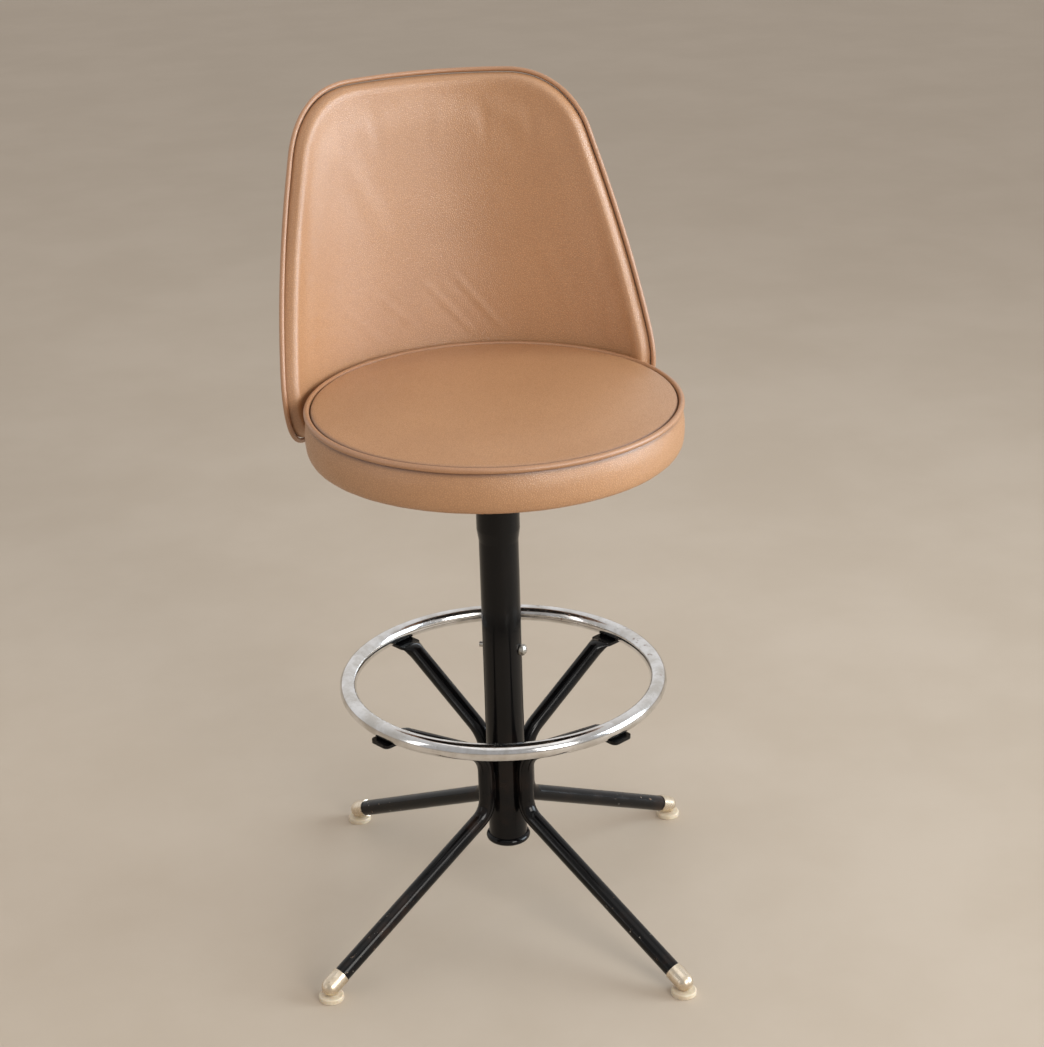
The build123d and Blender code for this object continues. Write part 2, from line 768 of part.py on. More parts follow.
# ---------------------------------------------------------------- back: shell, padding and covers
foam_inside = -14.0
shell_inside = -6.2
shell_outside = 1.4
nut_depth = 5.2
nut_radius = 5.8
nut_pocket_radius = 7.5
with BuildPart() as back_shell:
    add(back_layer(shell_inside, shell_outside, back_inset).part)
    for hand in (-1, 1):
        stud = radial_plane(90 + hand * strap_turn)
        with BuildSketch(Plane(origin=stud.x_dir * (back_cone(strap_bolt_height)[0] - 5.8)
                               + Vector(0, 0, strap_bolt_height), z_dir=stud.x_dir)):
            Circle(nut_pocket_radius)
        extrude(amount=30, mode=Mode.SUBTRACT)
save(back_shell.part, "back_shell")
save(back_layer(foam_inside, shell_inside - 0.2, back_inset + 1).part, "back_foam")
save(back_layer(foam_inside - 0.2 - cover_skin, foam_inside - 0.2, back_inset + 1).part, "back_front_panel")
save(back_layer(shell_outside + 0.2, shell_outside + 0.2 + cover_skin, back_inset).part, "back_cover")


def welt_path_points():
    """Points of the welt's centre line once round the back, from the bottom middle."""
    inset = back_welt_radius
    lower = back_bottom + inset
    side = [(back_half_width(h, inset), h) for h in back_levels(inset)[1:-1]]
    flat_low = back_half_width(lower, inset)
    flat_high = back_half_width(back_top - inset, inset)
    low = [(flat_low * k, lower) for k in (0.25, 0.75)]
    high = [(flat_high * k, back_top - inset) for k in (0.95, 0.35)]
    right = low + side + high
    left = [(-w, h) for w, h in reversed(right)]
    return [(*back_point(h, w, 0), h) for w, h in right + left]


def corner_radii(points):
    """For each point of a closed path, an arc as large as its two runs allow."""
    radii = []
    count = len(points)
    for i, here in enumerate(points):
        before = Vector(*here) - Vector(*points[i - 1])
        after = Vector(*points[(i + 1) % count]) - Vector(*here)
        turn = radians(before.get_angle(after))
        radii.append(0.45 * min(before.length, after.length) / tan(turn / 2))
    return radii


welt_points = welt_path_points()
with BuildPart() as back_welt:
    with BuildLine() as welt_line:
        FilletPolyline(*welt_points, radius=corner_radii(welt_points), close=True)
    with BuildSketch(Plane(origin=welt_line.line @ 0, z_dir=welt_line.line % 0)):
        Circle(back_welt_radius)
    sweep(path=welt_line.line)
save(back_welt.part, "back_welt")

# ---------------------------------------------------------------- straps between seat and back
strap_under = staple_bottom - strap_thickness - 0.05
with BuildPart() as back_brackets:
    for hand in (-1, 1):
        side = radial_plane(90 + hand * strap_turn)
        with BuildSketch(side):
            with BuildLine():
                Polyline(
                    (strap_inner, strap_under),
                    (strap_face, strap_under),
                    (strap_face, strap_top),
                    (strap_face - strap_thickness, strap_top),
                    (strap_face - strap_thickness, strap_under + strap_thickness),
                    (strap_inner, strap_under + strap_thickness),
                    close=True,
                )
            make_face()
        extrude(amount=strap_width / 2, both=True)
        with BuildSketch(Plane(origin=side.x_dir * (strap_face - 1) + Vector(0, 0, strap_bolt_height),
                               z_dir=side.x_dir)):
            Circle(strap_stud_radius)
        extrude(amount=back_cone(strap_bolt_height)[0] + 0.5 - strap_face)
    with BuildSketch(Plane.XY.offset(strap_under - 1)):
        with Locations(*strap_screw_spots):
            Circle(strap_screw_shank + 0.4)
    extrude(amount=strap_thickness + 2, mode=Mode.SUBTRACT)
save(back_brackets.part, "back_brackets")

with BuildPart() as bracket_nuts:
    for hand in (-1, 1):
        side = radial_plane(90 + hand * strap_turn)
        reach = back_cone(strap_bolt_height)[0] - 5.6
        outer_face = side.x_dir * reach + Vector(0, 0, strap_bolt_height)
        with BuildSketch(Plane(origin=outer_face, z_dir=side.x_dir)):
            RegularPolygon(nut_radius, 6)
            Circle(strap_stud_radius + fit, mode=Mode.SUBTRACT)
        extrude(amount=nut_depth)
save(bracket_nuts.part, "bracket_nuts")

with BuildPart() as bracket_screws:
    with BuildSketch(Plane.XY.offset(strap_under - fit)):
        with Locations(*strap_screw_spots):
            Circle(strap_screw_head)
    extrude(amount=-2.2)
    with BuildSketch(Plane.XY.offset(strap_under - fit)):
        with Locations(*strap_screw_spots):
            Circle(strap_screw_shank)
    extrude(amount=14)
save(bracket_screws.part, "bracket_screws")
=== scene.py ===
import math

import bpy
import numpy as np
from mathutils import Matrix, Vector, noise
from mathutils.bvhtree import BVHTree


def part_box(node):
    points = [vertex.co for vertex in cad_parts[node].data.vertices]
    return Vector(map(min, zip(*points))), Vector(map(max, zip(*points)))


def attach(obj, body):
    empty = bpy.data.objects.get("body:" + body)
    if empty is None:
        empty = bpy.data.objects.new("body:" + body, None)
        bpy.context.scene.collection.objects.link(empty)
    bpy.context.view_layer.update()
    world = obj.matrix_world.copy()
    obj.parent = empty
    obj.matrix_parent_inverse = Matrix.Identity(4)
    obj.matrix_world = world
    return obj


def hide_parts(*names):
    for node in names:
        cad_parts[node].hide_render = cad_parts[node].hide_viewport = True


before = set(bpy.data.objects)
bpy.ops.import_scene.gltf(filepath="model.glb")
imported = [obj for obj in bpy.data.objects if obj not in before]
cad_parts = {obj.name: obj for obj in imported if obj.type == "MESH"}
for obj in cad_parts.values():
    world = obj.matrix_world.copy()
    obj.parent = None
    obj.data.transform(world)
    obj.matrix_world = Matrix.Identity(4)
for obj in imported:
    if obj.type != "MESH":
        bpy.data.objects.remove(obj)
for leftover in ("Cube", "Light", "Camera"):
    if leftover in bpy.data.objects:
        bpy.data.objects.remove(bpy.data.objects[leftover])
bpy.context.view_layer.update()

# Looks of the adjustable swivel stool: upholstery pieces that replace the plain CAD solids, a
# procedural finish for every CAD node, a pale floor, studio light and the camera.
mm = 0.001


# ---------------------------------------------------------------- meshes from rings and grids
def new_piece(name, points, faces):
    """A smooth-shaded mesh object."""
    mesh = bpy.data.meshes.new(name)
    mesh.from_pydata([tuple(p) for p in points], [], faces)
    mesh.polygons.foreach_set("use_smooth", [True] * len(mesh.polygons))
    mesh.update()
    piece = bpy.data.objects.new(name, mesh)
    bpy.context.scene.collection.objects.link(piece)
    return piece


def loop_faces(first, second):
    """Quads between two closed loops of point numbers."""
    count = len(first)
    return [(first[i], first[(i + 1) % count], second[(i + 1) % count], second[i])
            for i in range(count)]


def grid_faces(numbers):
    """Quads of a grid of point numbers."""
    return [(numbers[i][j], numbers[i][j + 1], numbers[i + 1][j + 1], numbers[i + 1][j])
            for i in range(len(numbers) - 1) for j in range(len(numbers[0]) - 1)]


def grid_rim(numbers):
    """The outer loop of a grid: first row, last column, last row back, first column back."""
    return (list(numbers[0]) + [row[-1] for row in numbers[1:]]
            + list(numbers[-1][-2::-1]) + [row[0] for row in numbers[-2:0:-1]])


def closed_sheet(name, front, edge_loops, back):
    """A closed piece: a front grid, loops round its edge, and a back grid."""
    rows, columns = front.shape[:2]
    points = [p for row in front for p in row]
    numbers = [[i * columns + j for j in range(columns)] for i in range(rows)]
    faces = grid_faces(numbers)
    rim = grid_rim(numbers)
    for loop in edge_loops:
        start = len(points)
        points += list(loop)
        following = list(range(start, start + len(loop)))
        faces += loop_faces(following, rim)
        rim = following
    start = len(points)
    points += [p for row in back for p in row]
    numbers = [[start + i * columns + j for j in range(columns)] for i in range(rows)]
    faces += [tuple(reversed(face)) for face in grid_faces(numbers)]
    faces += loop_faces(grid_rim(numbers), rim)
    return new_piece(name, points, faces)


def tube(name, centres, outward, radii, sides=20):
    """A closed tube along a loop of centres; outward is the direction kept at the same place."""
    centres = np.array(centres)
    outward = np.array(outward)
    along = np.roll(centres, -1, 0) - np.roll(centres, 1, 0)
    along /= np.linalg.norm(along, axis=1)[:, None]
    across = np.cross(along, outward)
    across /= np.linalg.norm(across, axis=1)[:, None]
    outward = np.cross(across, along)
    count = len(centres)
    points = []
    for i in range(count):
        for k in range(sides):
            turn = 2 * math.pi * k / sides
            direction = math.cos(turn) * outward[i] + math.sin(turn) * across[i]
            points.append(centres[i] + radii[i] * direction)
    numbers = [[i * sides + k for k in range(sides)] for i in range(count)]
    faces = []
    for i in range(count):
        faces += loop_faces(numbers[i], numbers[(i + 1) % count])
    return new_piece(name, points, faces)


def subdivide(piece, levels=1):
    divided = piece.modifiers.new("subdivision", "SUBSURF")
    divided.levels = levels
    divided.render_levels = levels


def wander(point, size, seed):
    """Smooth random value between about -1 and 1 that changes over the given size in metres."""
    return noise.noise(Vector(point) / size + Vector((seed * 7.3, seed * 3.1, seed * 5.7)))


def set_mark(piece, mark, value_at):
    """Stores a value for each point of a piece, worked out from the point, for its shader."""
    mesh = piece.data
    values = [value_at(v.co) for v in mesh.vertices]
    mesh.attributes.new(mark, "FLOAT", "POINT").data.foreach_set("value", values)


# ---------------------------------------------------------------- swelling by cloth simulation
def swollen(solid, is_held, cap, pressure=4.0, voxel=5 * mm, frames=20):
    """Blows up a closed solid as stuffed cloth and returns its surface. The solid is used up."""
    remesh = solid.modifiers.new("remesh", "REMESH")
    remesh.mode = "VOXEL"
    remesh.voxel_size = voxel
    graph = bpy.context.evaluated_depsgraph_get()
    even = bpy.data.meshes.new_from_object(solid.evaluated_get(graph))
    solid.modifiers.clear()
    solid.data = even
    start = np.array([v.co for v in even.vertices])
    held = solid.vertex_groups.new(name="held")
    held.add([i for i, p in enumerate(start) if is_held(p)], 1.0, "REPLACE")
    cloth = solid.modifiers.new("cloth", "CLOTH")
    cloth.settings.quality = 5
    cloth.settings.mass = 0.25
    cloth.settings.use_pressure = True
    cloth.settings.uniform_pressure_force = pressure
    cloth.settings.vertex_group_mass = "held"
    cloth.settings.effector_weights.gravity = 0
    cloth.point_cache.frame_start = 1
    cloth.point_cache.frame_end = frames
    for number in range(1, frames + 1):
        bpy.context.scene.frame_set(number)
    graph = bpy.context.evaluated_depsgraph_get()
    moved = np.array([v.co for v in solid.evaluated_get(graph).data.vertices])
    shift = moved - start
    length = np.linalg.norm(shift, axis=1)
    shift *= np.minimum(1, cap / np.maximum(length, 1e-9))[:, None]
    surface = BVHTree.FromPolygons([Vector(p) for p in start + shift],
                                   [tuple(p.vertices) for p in even.polygons])
    bpy.data.objects.remove(solid)
    bpy.context.scene.frame_set(1)
    return surface


def evened(grid, passes):
    """Smooths a grid of values, keeping its outer row and column."""
    for _ in range(passes):
        inner = (grid[:-2, 1:-1] + grid[2:, 1:-1] + grid[1:-1, :-2] + grid[1:-1, 2:]) / 4
        grid[1:-1, 1:-1] = (grid[1:-1, 1:-1] + inner) / 2
    return grid


# ---------------------------------------------------------------- the back's curved surface
back_low, back_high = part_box("back_welt")
back_bottom = back_low.z
back_top = back_high.z
cone_radius_bottom = 226.0 * mm
cone_radius_top = 243.5 * mm
cone_centre_bottom = -2.0 * mm
cone_centre_top = 20.0 * mm
half_width_bottom = 302.0 * mm
half_width_top = 166.5 * mm
side_bulge = 5.2 * mm
corner_bottom = 66.0 * mm
corner_top = 101.0 * mm
back_welt_radius = 2.8 * mm
side_lean = math.atan2(half_width_bottom - half_width_top, back_top - back_bottom)


def back_share(height):
    return (height - back_bottom) / (back_top - back_bottom)


def cone(height):
    """Radius and centre (along Y) of the cone that the back's welt lies on."""
    share = back_share(height)
    radius = cone_radius_bottom + share * (cone_radius_top - cone_radius_bottom)
    return radius, cone_centre_bottom + share * (cone_centre_top - cone_centre_bottom)


def back_point(width, height, reach):
    """Width runs along the curve, reach outward from the cone."""
    radius, centre = cone(height)
    angle = width / radius
    return ((radius + reach) * math.sin(angle), centre + (radius + reach) * math.cos(angle), height)


def side_width(height):
    share = back_share(height)
    straight = half_width_bottom + share * (half_width_top - half_width_bottom)
    return straight + side_bulge * 4 * share * (1 - share)


def half_outline(corner_steps=22, side_steps=46):
    """The right edge of the flattened back, from the end of its flat bottom to that of its top."""
    low = back_bottom + corner_bottom
    high = back_top - corner_top
    low_middle = side_width(low) - corner_bottom / math.cos(side_lean)
    high_middle = side_width(high) - corner_top / math.cos(side_lean)
    edge = []
    for k in range(corner_steps):
        turn = -math.pi / 2 + (side_lean + math.pi / 2) * k / corner_steps
        edge.append((low_middle + corner_bottom * math.cos(turn), low + corner_bottom * math.sin(turn)))
    first = low + corner_bottom * math.sin(side_lean)
    last = high + corner_top * math.sin(side_lean)
    for k in range(side_steps):
        height = first + (last - first) * k / side_steps
        edge.append((side_width(height), height))
    for k in range(corner_steps + 1):
        turn = side_lean + (math.pi / 2 - side_lean) * k / corner_steps
        edge.append((high_middle + corner_top * math.cos(turn), high + corner_top * math.sin(turn)))
    return np.array(edge)


columns = 112
half_edge = half_outline()
across = np.linspace(-1, 1, columns + 1)


def outline_of(edge):
    """The whole outline in the order of grid_rim: bottom, right side, top, left side."""
    bottom = [(u * edge[0][0], edge[0][1]) for u in across]
    top = [(u * edge[-1][0], edge[-1][1]) for u in across[::-1]]
    left = [(-w, h) for w, h in edge[-2:0:-1]]
    return np.array(bottom + [tuple(p) for p in edge[1:-1]] + top + left)


def eased(outline, passes=6):
    """Takes the small kinks out of a closed outline."""
    for _ in range(passes):
        outline = outline / 2 + (np.roll(outline, 1, 0) + np.roll(outline, -1, 0)) / 4
    return outline


back_outline = eased(outline_of(half_edge))
heading = np.roll(back_outline, -1, 0) - np.roll(back_outline, 1, 0)
heading /= np.linalg.norm(heading, axis=1)[:, None]
inward = np.stack([-heading[:, 1], heading[:, 0]], axis=1)


def inset_outline(inset):
    return back_outline + inward * inset


def back_grid(inset, reach_at):
    """A grid over the back inside an inset outline."""
    outline = inset_outline(inset)
    rows = len(half_edge)
    right = [outline[columns + i] for i in range(rows)]
    grid = np.zeros((rows, columns + 1, 3))
    for i, (half, height) in enumerate(right):
        for j, u in enumerate(across):
            grid[i, j] = back_point(u * half, height, reach_at(u * half, height))
    return grid


def back_layer(name, profile, face_at, behind):
    """A closed layer of the back. Its edge runs through the profile's insets and reaches; inside
    the first one lies the face, at face_at(width, height), and inside the last one the other side."""
    front = back_grid(profile[0][0], face_at)
    loops = []
    for inset, reach in profile[1:-1]:
        loops.append([back_point(w, h, reach) for w, h in inset_outline(inset)])
    return closed_sheet(name, front, loops, back_grid(profile[-1][0], lambda w, h: behind))


def edge_distance(width, height):
    """Distance from the back's flattened outline, for a point inside it."""
    return float(np.sqrt(((back_outline - (width, height)) ** 2).sum(1).min()))


def smooth_step(value, low, high):
    share = min(1.0, max(0.0, (value - low) / (high - low)))
    return share * share * (3 - 2 * share)


# ---------------------------------------------------------------- the back's padded front
# Wrinkles of the vinyl, each a soft ridge with a hollow beside it: its line over the flattened
# back (width, height), how far it stands out and its half width.
wrinkles = [
    (((8, 722), (43, 680), (84, 634)), 0.50, 3.6),
    (((-30, 713), (5, 676), (44, 634)), 0.42, 3.8),
    (((-104, 712), (-62, 677), (-22, 640)), 0.32, 4.4),
    (((-150, 700), (-112, 668), (-76, 634)), 0.30, 5.0),
    (((-132, 885), (-102, 830), (-84, 797), (-68, 748)), 0.56, 13.0),
    (((-1, 915), (-3, 880), (-8, 850)), -0.31, 8.0),
    (((-232, 748), (-190, 736), (-146, 706)), 0.32, 4.5),
    (((-240, 708), (-196, 700), (-150, 684)), 0.32, 4.5),
    (((-244, 672), (-196, 676), (-140, 664)), 0.28, 4.5),
    (((60, 900), (96, 868), (118, 830)), -0.25, 12.0),
    (((118, 760), (150, 706), (168, 650)), 0.22, 9.0),
    (((196, 740), (214, 696), (226, 648)), 0.19, 7.0),
]


def line_distance(point, line):
    """Distance to a line of points, and how far along it the nearest place is, from 0 to 1."""
    best = (1e9, 0.0)
    for i in range(len(line) - 1):
        start = np.array(line[i])
        step = np.array(line[i + 1]) - start
        share = min(1.0, max(0.0, float((point - start) @ step / (step @ step))))
        away = float(np.linalg.norm(point - start - share * step))
        if away < best[0]:
            best = (away, (i + share) / (len(line) - 1))
    return best


def wrinkle_rise(width, height):
    """How far the wrinkles lift the face at a place, in metres."""
    rise = 0.0
    place = np.array([width / mm, height / mm])
    for line, depth, half in wrinkles:
        away, along = line_distance(place, line)
        if away < 4 * half:
            fade = smooth_step(along, 0, 0.3) * smooth_step(1 - along, 0, 0.3)
            hollow = 0.6 * math.exp(-((away - 1.6 * half) / half) ** 2)
            rise += depth * fade * (math.exp(-(away / half) ** 2) - hollow)
    return rise * mm


face_reach = -15.8 * mm
face_edge = 17.0 * mm
pad_profile = [
    (17.0, -15.8), (13.6, -15.6), (11.0, -15.0), (9.0, -13.8), (7.7, -12.0), (7.0, -9.6), (6.6, -7.0),
    (6.3, -4.4), (6.1, -2.2), (6.2, -1.0), (6.8, -0.6), (7.4, -1.0), (7.7, -3.5), (7.8, -6.0),
    (9.6, -6.4), (17.0, -6.4),
]
pad_profile = [(inset * mm, reach * mm) for inset, reach in pad_profile]


def back_swelling():
    """How far the padding pushes the face out, over the face grid, from a cloth simulation."""
    rows = len(half_edge)
    rest = -13.6 * mm
    block_profile = [(14.0, -13.6), (10.0, -12.8), (8.0, -10.5), (7.6, -8.0), (14.0, -6.6)]
    block_profile = [(inset * mm, reach * mm) for inset, reach in block_profile]
    block = back_layer("back_block", block_profile, lambda w, h: rest, -6.6 * mm)

    def is_held(point):
        radius, centre = cone(point[2])
        return math.hypot(point[0], point[1] - centre) - radius > -9.5 * mm

    surface = swollen(block, is_held, cap=4 * mm)
    outline = inset_outline(face_edge)
    swelling = np.zeros((rows, columns + 1))
    for i in range(rows):
        half, height = outline[columns + i]
        radius, centre = cone(height)
        for j, u in enumerate(across):
            angle = u * half / radius
            ray = Vector((math.sin(angle), math.cos(angle), 0))
            hit = surface.ray_cast(Vector((0, centre, height)), ray)[0]
            if hit is not None:
                swelling[i, j] = rest - (math.hypot(hit.x, hit.y - centre) - radius)
    return evened(swelling, 6)


def make_back_pad():
    swelling = None
    swelling = back_swelling()
    swelling -= np.median(swelling)
    pad = back_layer("back_pad", pad_profile, lambda w, h: face_reach, pad_profile[-1][1])
    outline = inset_outline(face_edge)
    rows = len(half_edge)
    coordinates = [v.co for v in pad.data.vertices]
    for i in range(rows):
        half, height = outline[columns + i]
        for j, u in enumerate(across):
            width = u * half
            inside = smooth_step(edge_distance(width, height), face_edge, 60 * mm)
            above_seat = smooth_step(height, 600 * mm, 690 * mm)
            rise = (0.3 + 1.2 * above_seat) * mm * inside
            if swelling is not None:
                rise += swelling[i, j] * inside * (0.25 + 0.35 * above_seat)
            rise += wrinkle_rise(width, height) * inside
            rise += 0.25 * mm * wander((width, height, 0), 55 * mm, 1) * inside
            coordinates[i * (columns + 1) + j][:] = back_point(width, height, face_reach - rise)

    # painted shade: how strongly the dark groove colour is laid where the front dives in beside the
    # piping
    def seam_shade_at(point):
        radius, centre = cone(point[2])
        reach = math.hypot(point[0], point[1] - centre) - radius
        return math.exp(-max(0.0, -0.8 * mm - reach) / (1.3 * mm)) if reach > -9 * mm else 0.0

    set_mark(pad, "seam", seam_shade_at)
    subdivide(pad)
    return pad


def cover_seam_shade(point):
    """How near a point of the outer cover is to its seam with the welt, from 0 to 1: how strongly
    painted shade darkens the groove there.
    """
    radius, centre = cone(point[2])
    reach = math.hypot(point[0], point[1] - centre) - radius
    return math.exp(-max(0.0, reach - 0.8 * mm) / (0.8 * mm))


def make_back_cover():
    """The plain outer cover, drawn tight over the shell."""
    profile = [(18.0, 3.1), (12.0, 3.0), (8.8, 2.6), (7.0, 1.9), (6.3, 0.9), (6.5, 0.1), (7.2, 0.3),
               (7.8, 1.1), (9.4, 1.6), (18.0, 1.7)]
    profile = [(inset * mm, reach * mm) for inset, reach in profile]

    def face(width, height):
        inside = smooth_step(edge_distance(width, height), 18 * mm, 70 * mm)
        uneven = 0.5 * mm * wander((width, height, 0), 90 * mm, 2)
        return 3.1 * mm + inside * (0.9 * mm + uneven)

    cover = back_layer("back_outer_cover", profile, face, 1.7 * mm)
    cover.data.flip_normals()
    # painted shade in the groove beside the piping
    set_mark(cover, "seam", cover_seam_shade)
    subdivide(cover)
    return cover


def make_back_piping():
    outline = inset_outline(back_welt_radius)
    step = np.linalg.norm(np.roll(outline, -1, 0) - outline, axis=1)
    travelled = np.concatenate([[0], np.cumsum(step)])
    places = np.linspace(0, travelled[-1], 481)[:-1]
    closed = np.vstack([outline, outline[:1]])
    widths = np.interp(places, travelled, closed[:, 0])
    heights = np.interp(places, travelled, closed[:, 1])
    centres, outward, radii = [], [], []
    for width, height in zip(widths, heights):
        centre = back_point(width, height, 0)
        centres.append(centre)
        angle = width / cone(height)[0]
        outward.append((math.sin(angle), math.cos(angle), 0))
        radii.append(back_welt_radius * (1 + 0.035 * wander(centre, 18 * mm, 3)))
    return tube("back_piping", centres, outward, radii)


# ---------------------------------------------------------------- the seat
seat_low, seat_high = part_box("seat_welt")
band_low, band_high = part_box("seat_band")
board_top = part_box("seat_board")[1].z
welt_radius = (seat_high.z - seat_low.z) / 2
welt_height = (seat_high.z + seat_low.z) / 2
welt_ring = seat_high.x - welt_radius
crown_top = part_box("seat_top_panel")[1].z
around = 96


def disc_grid(radius, height_at):
    """A grid over a disc: a square whose sides are bent out to the circle."""
    steps = np.linspace(-1, 1, around + 1)
    grid = np.zeros((around + 1, around + 1, 3))
    for i, v in enumerate(steps):
        for j, u in enumerate(steps):
            x = radius * u * math.sqrt(1 - v * v / 2)
            y = radius * v * math.sqrt(1 - u * u / 2)
            grid[i, j] = (x, y, height_at(x, y))
    return grid


rim_square = disc_grid(1.0, lambda x, y: 0)
rim_numbers = [[(i, j) for j in range(around + 1)] for i in range(around + 1)]
rim_directions = np.array([rim_square[i, j][:2] for i, j in grid_rim(rim_numbers)])


def ring_at(radius, height):
    return [(radius * x, radius * y, height) for x, y in rim_directions]


panel_edge = 195.0 * mm
panel_edge_height = 631.4 * mm


def crown(radius):
    """The seat's top over its radius: fuller near the edge than a ball's cap."""
    share = min(1.0, radius / panel_edge)
    return panel_edge_height + (crown_top - panel_edge_height) * (1 - share ** 2.3)


def seat_swelling():
    """How far the seat's padding lifts its top, over the top grid, from a cloth simulation."""
    rest = 632.0 * mm
    start_radius = 190 * mm
    top = disc_grid(start_radius, lambda x, y: rest)
    bottom = disc_grid(start_radius, lambda x, y: board_top + 1 * mm)
    loops = [ring_at(197 * mm, 628 * mm), ring_at(200 * mm, 612 * mm), ring_at(197 * mm, 598 * mm)]
    block = closed_sheet("seat_block", top, loops, bottom)
    surface = swollen(block, lambda p: p[2] < 618 * mm or math.hypot(p[0], p[1]) > 195 * mm, cap=9 * mm)
    lift = np.zeros((around + 1, around + 1))
    for i, row in enumerate(disc_grid(panel_edge, lambda x, y: 0)):
        for j, (x, y, _) in enumerate(row):
            hit = surface.ray_cast(Vector((x, y, 700 * mm)), Vector((0, 0, -1)))[0]
            if hit is not None:
                lift[i, j] = hit.z - rest
    return evened(lift, 6)


def make_seat_cushion():
    """The crowned top panel with the foam that fills the band under it."""
    lift = seat_swelling()
    top = disc_grid(panel_edge, lambda x, y: crown(math.hypot(x, y)))
    scale = 0.0
    if lift is not None:
        scale = (crown_top - panel_edge_height) / max(lift.max(), 1 * mm)
    for i in range(around + 1):
        for j in range(around + 1):
            x, y, z = top[i, j]
            radius = math.hypot(x, y)
            inside = smooth_step(panel_edge - radius, 0, 40 * mm)
            if lift is not None:
                z += 0.35 * (panel_edge_height + scale * lift[i, j] - z) * inside
            z += 0.5 * mm * wander((x, y, 0), 85 * mm, 4) * inside
            top[i, j, 2] = z
    side_profile = [
        (197.0, 630.9), (198.3, 629.6), (198.9, 627.6), (199.4, 625.0), (200.4, 620.0),
        (202.6, 612.0), (203.8, 604.0), (202.4, 597.0), (198.6, 595.0),
    ]
    loops = [ring_at(radius * mm, height * mm) for radius, height in side_profile]
    bottom = disc_grid(195 * mm, lambda x, y: board_top + 0.3 * mm)
    cushion = closed_sheet("seat_cushion", top, loops, bottom)

    # painted shade: dark beside the piping, and wholly dark over the side below 600 mm that lies under
    # the band
    def seam_shade_at(point):
        radius = math.hypot(point.x, point.y)
        return math.exp(-max(0.0, 198.4 * mm - radius) / (1.1 * mm)) if point.z > 600 * mm else 1.0

    set_mark(cushion, "seam", seam_shade_at)
    subdivide(cushion)
    return cushion


strap_middle = 90.0  # the back's two straps lie under the band at this many degrees round,
strap_turn = 28.0  # less and plus this many


def make_seat_band():
    """The boxing strip: swollen in the middle, drawn under the board in small pleats. It hangs a
    little below the board, except where the back's straps press on it."""
    outer = [
        (201.4, 625.4), (202.3, 624.4), (203.3, 620.5), (204.9, 613.5), (205.8, 606.5), (205.6, 599.5),
        (204.4, 592.5), (202.2, 586.6), (199.2, 582.9), (194.5, 581.4), (186.0, 581.3), (178.4, 581.3),
    ]
    inner = [
        (178.4, 582.2), (186.0, 582.2), (194.0, 582.3), (198.4, 583.9), (201.0, 587.4), (203.2, 592.8),
        (204.4, 599.5), (204.6, 606.5), (203.7, 613.3), (202.1, 620.3), (201.1, 624.2), (200.8, 625.2),
    ]
    section = outer + inner
    steps = 480
    points = []
    for k in range(steps):
        turn = 2 * math.pi * k / steps
        spot = (math.cos(turn), math.sin(turn), 0)
        off_strap = abs(abs(math.degrees(turn) - strap_middle) - strap_turn)
        sag = smooth_step(off_strap, 7, 15)
        for radius, height in section:
            low = smooth_step(600 - height, 0, 20)
            bulge = 1.6 * sag * smooth_step(602 - height, 0, 14) * smooth_step(radius, 186, 200)
            hang = 2.4 * sag * smooth_step(596 - height, 0, 14) * smooth_step(radius, 184, 194)
            pleat = 0.35 * low * wander((spot[0], spot[1], 0), 0.045, 5)
            swell = 0.35 * wander((spot[0], spot[1], height / 60), 0.35, 6)
            swell *= smooth_step(625 - height, 0, 12)
            tuck = 0.3 * smooth_step(584 - height, 0, 2) * abs(wander((spot[0], spot[1], 0), 0.03, 8))
            reach = (radius + pleat + swell + bulge) * mm
            points.append((reach * spot[0], reach * spot[1], (height + tuck - hang) * mm))
    count = len(section)
    faces = []
    for k in range(steps):
        here = [k * count + i for i in range(count)]
        there = [((k + 1) % steps) * count + i for i in range(count)]
        faces += loop_faces(here, there)
    band = new_piece("seat_band_cover", points, faces)
    # painted shade: dark along the top of the band, in the groove under the piping
    set_mark(band, "seam", lambda p: math.exp(-max(0.0, band_high.z - p.z) / (1.2 * mm)))
    subdivide(band)
    return band


def make_seat_piping():
    steps = 480
    centres, outward, radii = [], [], []
    for k in range(steps):
        turn = 2 * math.pi * k / steps
        spot = (math.cos(turn), math.sin(turn), 0)
        drift = 0.2 * mm * wander(spot, 0.3, 9)
        centres.append((welt_ring * spot[0], welt_ring * spot[1], welt_height + drift))
        outward.append(spot)
        radii.append(welt_radius * (1 + 0.03 * wander(spot, 0.09, 10)))
    return tube("seat_piping", centres, outward, radii)


def make_dust_cover():
    """The black cloth under the board, folded in at its edges and slightly slack."""
    low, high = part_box("seat_dust_cover")
    outer_radius = high.x
    opening = 83.0 * mm
    rings = 26
    directions = []
    for x, y in rim_directions:
        reach = opening / max(abs(x), abs(y))
        directions.append((x, y, reach))
    sides = []
    for height, hang in ((low.z, 1.0), (high.z - 0.05 * mm, 0.0)):
        loops = []
        for k in range(rings + 1):
            share = k / rings
            loop = []
            for x, y, reach in directions:
                radius = reach + share * (outer_radius - reach)
                slack = 4 * share * (1 - share)
                crease = wander((x * radius, y * radius, 0), 26 * mm, 11)
                fold = 0.12 * mm * slack * crease * hang
                loop.append((x * radius, y * radius, height + max(-0.1 * mm, fold)))
            loops.append(loop)
        sides.append(loops)
    loops = sides[0] + sides[1][::-1]
    points = [p for loop in loops for p in loop]
    count = len(directions)
    faces = []
    for k in range(len(loops)):
        here = [k * count + i for i in range(count)]
        there = [((k + 1) % len(loops)) * count + i for i in range(count)]
        faces += loop_faces(here, there)
    return new_piece("dust_cover_cloth", points, faces)


